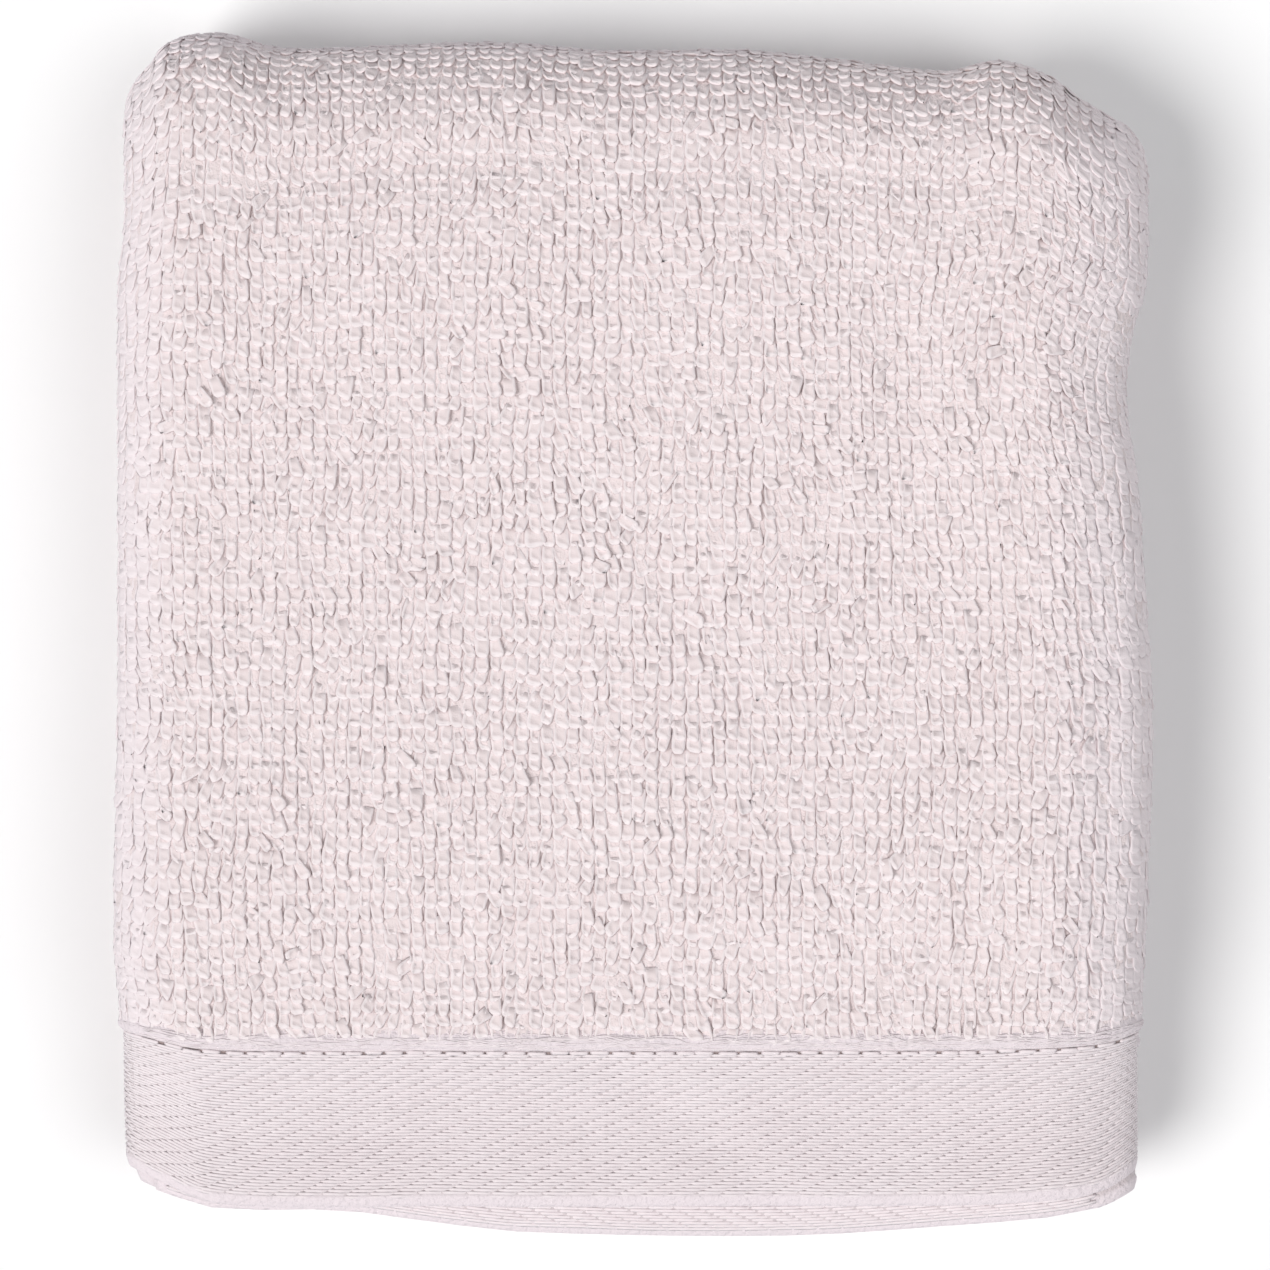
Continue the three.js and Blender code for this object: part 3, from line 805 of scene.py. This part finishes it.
# %% [markdown]
# ## The woven border
# The border is a twill: each crosswise yarn floats over three lengthwise ends and dips under
# the fourth, and the next yarn does so one end further on. That gives short bright floats and
# small dark dips in slanting lines. Each crosswise yarn is one wavy tube from side fold to side
# fold, so the pattern bends round the folds and over the hem as the real one does.

# %% Crosswise yarns of a border
END_PITCH = 0.83
FLOAT_REPEAT = 4 * END_PITCH
PICK_PITCH = 0.415
PICK_WIDE = 0.27
PICK_HIGH = 0.12
PICK_DIP = 0.3
PICK_STATIONS = (0, 0.11, 0.5, 0.89)
PICK_HEIGHTS = (-1.0, 0.0, 0.12, 0.0)
# How uneven the yarns are: in the height of their waves and in a slow drift of their line
PICK_WAVES = (0.55, 1.1)
PICK_STRAY = 0.08
PICK_DRIFT = (0.07, 9, 51)
DRIFT_FROM, DRIFT_STEP = 500, 4
PICK_LEAST = 0.15
PICK_SEED = 70
LOWER_DIP = PICK_DIP * 0.6
LOWER_RAISE = 0.1
RIGHT_FLAP = (272, CLOTH_WIDTH - 1.5)
UPPER_PICKS = (HEM_EDGE, RIDGE_FROM - 0.45)
LOWER_PICKS = (1.2, 5)


def tube(path, wide, high):
    """Points of a four-sided yarn round a path on the flat cloth."""
    tangent = np.gradient(path, axis=0)
    tangent /= np.linalg.norm(tangent, axis=1, keepdims=True)
    level = np.cross(tangent, (0.0, 0.0, 1.0))
    level /= np.linalg.norm(level, axis=1, keepdims=True)
    upright = np.cross(level, tangent)
    ring = np.stack([level * wide, upright * high, -level * wide, -upright * high], 1)
    return (path[:, None] + ring).reshape(-1, 3)


def place_yarns(name, paths, wide, high):
    """One closed tube along each path, put on the folded cloth."""
    points, groups, places = [], [[], []], [[], []]
    base = 0
    for path in paths:
        faces, corners = ring_faces(len(path), 4)
        points.append(cloth_point(*tube(path, wide, high).T))
        for k in range(2):
            groups[k].append(faces[k] + base)
            places[k].append(corners[k] * (1, len(path) / 8))
        base += 4 * len(path)
    points = np.concatenate(points)
    points[:, 2] = np.maximum(points[:, 2], 0)
    faces = [np.concatenate(group) for group in groups]
    make_piece(name, points, faces, [np.concatenate(group) for group in places])


def pick_path(from_end, number, start, end, dip):
    """Middle line of one crosswise yarn: across, distance from the woven end, and off."""
    repeats = np.arange(math.floor(start / FLOAT_REPEAT) - 1, math.ceil(end / FLOAT_REPEAT) + 1)
    share = (repeats[:, None] + np.array(PICK_STATIONS)[None]).ravel() + (number % 4) / 4
    height = np.tile(PICK_HEIGHTS, len(repeats))
    across = share * FLOAT_REPEAT
    keep = (across > start) & (across < end)
    across, height = across[keep], height[keep]
    chance = np.random.default_rng(PICK_SEED + number)
    height = height * chance.uniform(*PICK_WAVES, len(height))
    height = height + PICK_STRAY * chance.normal(0, 1, len(height))
    drift = sway(PICK_DRIFT, across, np.full_like(across, DRIFT_FROM + from_end * DRIFT_STEP))
    depth = np.maximum(from_end + drift, PICK_LEAST)
    return np.stack([across, depth, straight(WOVEN_HALF, depth) - PICK_HIGH + dip * height], 1)


def pick_numbers(first, last):
    return range(math.floor(first / PICK_PITCH), math.ceil(last / PICK_PITCH))


def upper_pick(number):
    path = pick_path((number + 0.5) * PICK_PITCH, number, FACE_FROM - 1, FACE_TO + 1, PICK_DIP)
    path[:, 1] = CLOTH_LENGTH - path[:, 1]
    return path


def lower_pick(number):
    """At the lower end the right flap is the layer on top, and its side hem ends the yarns."""
    path = pick_path((number + 0.5) * PICK_PITCH, number, *RIGHT_FLAP, LOWER_DIP)
    path[:, 2] += LOWER_RAISE
    return path


upper_picks = [upper_pick(number) for number in pick_numbers(*UPPER_PICKS)]
lower_picks = [lower_pick(number) for number in pick_numbers(*LOWER_PICKS)]
place_yarns("border_weave_upper", upper_picks, PICK_WIDE, PICK_HIGH)
place_yarns("border_weave_lower", lower_picks, PICK_WIDE, PICK_HIGH)

# %% [markdown]
# ## The foot of the ridge
# Where the pile starts, its yarns go up between the crosswise ones and leave a row of small
# openings, and loose fibres lie along the ridge above. The openings are the gaps between short
# bars over a dented gutter in the cloth, painted dark as the shade in its openings. The fibres
# are thin yarns that wander along the ridge, with their ends tucked in.

# %% Bars and loose yarns of the ridge
BAR_PITCH = 2.7
BAR_STATIONS = np.array([(0.0, -0.26), (0.3, -0.02), (1.15, 0.03), (2.0, -0.02), (2.3, -0.26)])
BAR_OFF = 0.56
BAR_WIDE, BAR_HIGH = 0.34, 0.16
BAR_STRAY, BAR_JOG = 0.2, 0.07
STRANDS = 90
STRAND_STEP = 1.3
STRAND_COUNTS = (6, 18)
STRAND_PLACES, STRAND_LIMITS = (0.12, 0.86), (0.08, 0.9)
STRAND_WANDER = 0.09
STRAND_OFF = 0.03
STRAND_TUCK = 0.16
STRAND_WIDE, STRAND_HIGH = 0.1, 0.08


def bar_path(start, jog):
    across, lift = start + BAR_STATIONS[:, 0], BAR_STATIONS[:, 1]
    along = np.full(len(across), CLOTH_LENGTH - GUTTER[0] + jog)
    return np.stack([across, along, BAR_OFF + lift], 1)


def strand_path(chance):
    """A loose yarn along the ridge, from one place to another."""
    count = int(chance.integers(*STRAND_COUNTS))
    start = chance.uniform(FACE_FROM, FACE_TO - count * STRAND_STEP)
    across = start + np.arange(count) * STRAND_STEP
    share = chance.uniform(*STRAND_PLACES)
    wander = STRAND_WANDER * np.cumsum(chance.normal(0, 1, count))
    t = np.clip(share + wander / (1 + np.abs(wander)), *STRAND_LIMITS)
    from_end = RIDGE_FROM + t * (RIDGE_TO - RIDGE_FROM)
    off = RIDGE_HALF * np.sqrt(1 - (2 * t - 1) ** 2) + STRAND_OFF
    off = off + STRAND_OFF * chance.normal(0, 1, count)
    off[[0, -1]] -= STRAND_TUCK
    return np.stack([across, CLOTH_LENGTH - from_end, off], 1)


chance = np.random.default_rng(61)
bar_starts = np.arange(FACE_FROM, FACE_TO - 2, BAR_PITCH)
bars = [
    bar_path(start + BAR_STRAY * chance.normal(), BAR_JOG * chance.normal())
    for start in bar_starts
]
strands = [strand_path(chance) for _ in range(STRANDS)]
place_yarns("border_bars", bars, BAR_WIDE, BAR_HIGH)
place_yarns("border_strands", strands, STRAND_WIDE, STRAND_HIGH)

# %% [markdown]
# ## Cotton
# The towel is undyed-looking blush cotton, matt, with hardly any shine. The colour is nearly
# even, but shade is painted into it: a little warmer and darker in the loops' hollows, in the
# grooves beside them and on the cloth seen between them, where light bounces from yarn to
# yarn, and darker on the back fold, under the weave and in the gutter. It is a little paler on
# the woven parts. Cotton fluff catches light at a slant, which the shader's sheen gives. A small
# class lets the shader's sums be written as Python sums.

# %% A small class for shader sums
class Wire:
    """One value on its way through a material's nodes."""

    def __init__(self, tree, socket):
        self.tree = tree
        self.socket = socket

    def node(self, kind, settings=None, sockets=None, output=0):
        """Adds a node: its settings first, then the values or wires of its sockets."""
        made = self.tree.nodes.new(kind)
        for name, value in (settings or {}).items():
            setattr(made, name, value)
        for name, value in (sockets or {}).items():
            if isinstance(value, Wire):
                self.tree.links.new(value.socket, made.inputs[name])
            else:
                made.inputs[name].default_value = value
        return Wire(self.tree, made.outputs[output])

    def maths(self, operation, first, second=0.0):
        return self.node("ShaderNodeMath", {"operation": operation}, {0: first, 1: second})

    def __add__(self, other):
        return self.maths("ADD", self, other)

    def __sub__(self, other):
        return self.maths("SUBTRACT", self, other)

    def __rsub__(self, other):
        return self.maths("SUBTRACT", other, self)

    def __mul__(self, other):
        return self.maths("MULTIPLY", self, other)

    def sine(self):
        return self.maths("SINE", self)

    def size(self):
        """The value without its sign."""
        return self.maths("ABSOLUTE", self)

    def axes(self):
        """The X and the Y of a place."""
        split = self.node("ShaderNodeSeparateXYZ", sockets={0: self})
        return split, Wire(self.tree, split.socket.node.outputs[1])

    def noise(self, scale, detail=2.0):
        """Soft random patches over a place."""
        return self.node("ShaderNodeTexNoise", sockets={"Vector": self, "Scale": scale, "Detail": detail})

    def between(self, low, high):
        """0 at low, 1 at high, and held there beyond."""
        sockets = {"Value": self, "From Min": low, "From Max": high}
        return self.node("ShaderNodeMapRange", {"clamp": True}, sockets)

    def blend(self, first, second):
        """A colour from first to second, by this value."""
        return self.node("ShaderNodeMix", {"data_type": "RGBA"}, {0: self, 6: first, 7: second}, 2)


def new_material(name):
    """An empty material's output shader, and a wire to build from."""
    material = bpy.data.materials.new(name)
    material.use_nodes = True
    shader = material.node_tree.nodes["Principled BSDF"]
    return material, shader, Wire(material.node_tree, None)


# %% Cotton for the loops and the woven yarns
def linear(red, green, blue):
    """A colour given as it is seen, 0 to 255, in the shader's own scale."""
    return tuple(((c / 255 + 0.055) / 1.055) ** 2.4 for c in (red, green, blue)) + (1.0,)


MATT = {
    "Roughness": 0.95, "Sheen Weight": 0.25, "Sheen Roughness": 0.6,
    "Sheen Tint": (0.93, 0.93, 1.0, 1.0), "Specular IOR Level": 0.2,
}

# Where painted shade goes on a loop: round its section, counted in sides, and along it
LOOP_SIDES, HOLLOW_MIDDLE = 7.0, 2.5
HOLLOW_ASIDE, HOLLOW_ALONG = (1.3, 0.6), (0.68, 0.5)
GROOVE_ASIDE = (1.7, 2.6)
# The rubbed bands, in metres from the middle of the towel; the back band also carries painted shade
RIGHT_BAND, LEFT_BAND = (0.05, 0.062), (-0.058, -0.065)
BACK_SHADE_BAND = (0.0735, 0.0765)


def matt(start, shader, colour, height, depth, strength):
    """Joins a colour and fine bumps to a matt shader."""
    sockets = {"Height": height, "Distance": depth, "Strength": strength}
    bump = start.node("ShaderNodeBump", sockets=sockets)
    start.tree.links.new(colour.socket, shader.inputs["Base Color"])
    start.tree.links.new(bump.socket, shader.inputs["Normal"])
    for name, value in MATT.items():
        shader.inputs[name].default_value = value


def cotton(name, pale, deep, twist, bump_depth, hollow=None, groove_shade=None):
    """Soft yarn: paler and deeper in slow patches, painted shade in hollows and grooves, finely twisted.
    """
    material, shader, start = new_material(name)
    place = start.node("ShaderNodeTexCoord", output="Object")
    uv = start.node("ShaderNodeTexCoord", output="UV")
    around, length = uv.axes()
    slow, quick = place.noise(55.0), place.noise(900.0)
    mixed = (slow * 0.6 + quick * 0.8 - 0.7) * 1.6 + 0.5
    colour = mixed.between(0.0, 1.0).blend(deep, pale)
    if hollow:
        # Painted shade: the hollow between a loop's legs and the groove at its sides are coloured darker
        aside = (around * LOOP_SIDES - HOLLOW_MIDDLE).size()
        hollow_shade_area = aside.between(*HOLLOW_ASIDE) * length.between(*HOLLOW_ALONG)
        colour = hollow_shade_area.blend(colour, hollow)
        colour = aside.between(*GROOVE_ASIDE).blend(colour, groove_shade)
        sideways, backwards = place.axes()
        rubbed = sideways.between(*RIGHT_BAND) + sideways.between(*LEFT_BAND)
        colour = (rubbed * 0.75).blend(colour, BLUSH_RUBBED)
        # Rubbed pile on the back fold, with painted shade where it turns away from the light
        colour = (backwards.between(*BACK_SHADE_BAND) * 0.6).blend(colour, BACK_RUBBED_AND_SHADE)
    plies = (around * (4 * math.pi) + length * twist).sine()
    fluff = place.noise(6000.0)
    matt(start, shader, colour, plies * 0.35 + fluff, bump_depth, 0.6)
    return material


# Fibres run along the ridge, so its noise is stretched across the cloth
STREAKS = (14.0, 260.0, 0.0)


def ground(name, woven, under_pile, weave_dip_shade, gutter):
    """The cloth between the yarns, in painted shade: deeper under loops and weave, darkest in the gutter.
    """
    material, shader, start = new_material(name)
    uv = start.node("ShaderNodeTexCoord", output="UV")
    _, along = uv.axes()
    middle = CLOTH_LENGTH / 2 / UV_MM
    from_end = (middle - (along - middle).size()) * UV_MM
    # Painted shade under the weave, which the dips between its floats show as dark dots
    under_weave_shade_area = from_end.between(HEM_EDGE - 0.3, HEM_EDGE + 0.3)
    ridge_starts = from_end.between(RIDGE_FROM - 0.1, RIDGE_FROM + 0.25)
    ridge = ridge_starts * from_end.between(RIDGE_TO + 0.3, RIDGE_TO)
    colour = under_weave_shade_area.blend(woven, weave_dip_shade)
    # Painted shade on the cloth seen down between the loops
    colour = from_end.between(RIDGE_TO, RIDGE_TO + 0.3).blend(colour, under_pile)
    colour = ridge.blend(colour, woven)
    # Painted shade in the gutter, seen through the openings between the bars
    gutter_shade_area = (from_end - GUTTER[0]).size().between(GUTTER[1], GUTTER[1] * 0.5)
    colour = gutter_shade_area.blend(colour, gutter)
    streaks = uv.node("ShaderNodeVectorMath", {"operation": "MULTIPLY"}, {0: uv, 1: STREAKS})
    lines = streaks.noise(1.0)
    fluff = start.node("ShaderNodeTexCoord", output="Object").noise(1500.0, 4.0)
    matt(start, shader, colour, lines * ridge + fluff * 1.6, 0.0003, 0.9)
    return material


BLUSH_PALE = linear(246, 237, 238)
BLUSH_DEEP = linear(239, 228, 229)
# Painted shade in the loops' hollows and in the grooves between them
HOLLOW_PAINTED_SHADE = linear(231, 218, 218)
GROOVE_PAINTED_SHADE = linear(223, 207, 204)
# Painted shade on the cloth seen down between the loops
ROOT_PAINTED_SHADE = linear(230, 217, 217)
BLUSH_RUBBED = linear(237, 227, 230)
# Rubbed pile on the back fold, with painted shade where it turns away from the light
BACK_RUBBED_AND_SHADE = linear(228, 218, 222)
WOVEN_PALE = linear(239, 230, 232)
WOVEN_DEEP = linear(232, 221, 223)
HEM_SHADE = linear(233, 222, 226)
# Painted shade under the weave's dips
UNDER_WEAVE_PAINTED_SHADE = linear(212, 201, 203)
# Painted shade in the gutter's openings
GUTTER_PAINTED_SHADE = linear(168, 150, 148)

pile_cotton = cotton("blush_pile", BLUSH_PALE, BLUSH_DEEP, 16.0, 0.0001, HOLLOW_PAINTED_SHADE, GROOVE_PAINTED_SHADE)
woven_cotton = cotton("blush_weave", WOVEN_PALE, WOVEN_DEEP, 40.0, 0.00003)
ground_cotton = ground("blush_ground", HEM_SHADE, ROOT_PAINTED_SHADE, UNDER_WEAVE_PAINTED_SHADE, GUTTER_PAINTED_SHADE)

for piece in pieces:
    is_pile = piece.name.startswith("pile")
    is_border = piece.name.startswith("border")
    finish = pile_cotton if is_pile else woven_cotton if is_border else ground_cotton
    piece.data.materials.append(finish)
print("materials:", [m.name for m in bpy.data.materials])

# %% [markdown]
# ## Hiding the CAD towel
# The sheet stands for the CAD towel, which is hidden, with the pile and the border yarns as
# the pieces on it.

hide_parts("towel")

# %% [markdown]
# ## Floor, light and camera
# The towel lies on a white floor and is seen from straight above, so the camera looks down its
# own axis with no turn. A long lens far away keeps the sides from showing. The light is soft:
# a broad light from the left and front gives the shadow at the right and the back, a weaker
# one from the right gives the faint shadow at the left, and a pale sky fills the rest.

# %% Floor
bpy.ops.object.select_all(action="DESELECT")
bpy.ops.mesh.primitive_plane_add(size=2.4, location=(0, 0, 0))
floor = bpy.context.active_object
floor.name = "floor"
floor_material, floor_shader, _ = new_material("white_floor")
floor_shader.inputs["Base Color"].default_value = (0.95, 0.95, 0.95, 1.0)
floor_shader.inputs["Roughness"].default_value = 0.9
floor_shader.inputs["Specular IOR Level"].default_value = 0.1
floor.data.materials.append(floor_material)

# %% Light
SKY_STRENGTH = 0.31
KEY_SHARE = 0.54
FILL_SHARE = 0.22


def add_sun(name, towards, share, angle, colour):
    """A broad sun that gives a level white floor its share of light."""
    lamp = bpy.data.lights.new(name, "SUN")
    direction = Vector(towards).normalized()
    lamp.energy = share * math.pi / direction.z
    lamp.angle = math.radians(angle)
    lamp.color = colour
    sun = bpy.data.objects.new(name, lamp)
    sun.rotation_euler = direction.to_track_quat("Z", "Y").to_euler()
    bpy.context.scene.collection.objects.link(sun)


add_sun("key", (-0.6, -0.36, 1.0), KEY_SHARE, 28, (1.0, 0.99, 0.98))
add_sun("fill", (0.42, -0.14, 1.0), FILL_SHARE, 30, (1.0, 1.0, 1.0))
sky = bpy.data.worlds.new("studio")
sky.use_nodes = True
background = sky.node_tree.nodes["Background"]
background.inputs["Color"].default_value = (0.96, 0.97, 1.0, 1.0)
background.inputs["Strength"].default_value = SKY_STRENGTH
bpy.context.scene.world = sky
bpy.context.scene.view_settings.view_transform = "Standard"

# %% Camera
CAMERA_HEIGHT = 0.7
SEEN_HEIGHT = 0.035
SEEN_WIDTH = 0.1618
SENSOR = 36.0

camera_data = bpy.data.cameras.new("camera")
camera_data.sensor_width = SENSOR
camera_data.lens = SENSOR * (CAMERA_HEIGHT - SEEN_HEIGHT) / SEEN_WIDTH
camera = bpy.data.objects.new("camera", camera_data)
camera.location = (-0.00017, -0.00026, CAMERA_HEIGHT)
bpy.context.scene.collection.objects.link(camera)
bpy.context.scene.camera = camera
print(f"lens {camera_data.lens:.0f} mm")
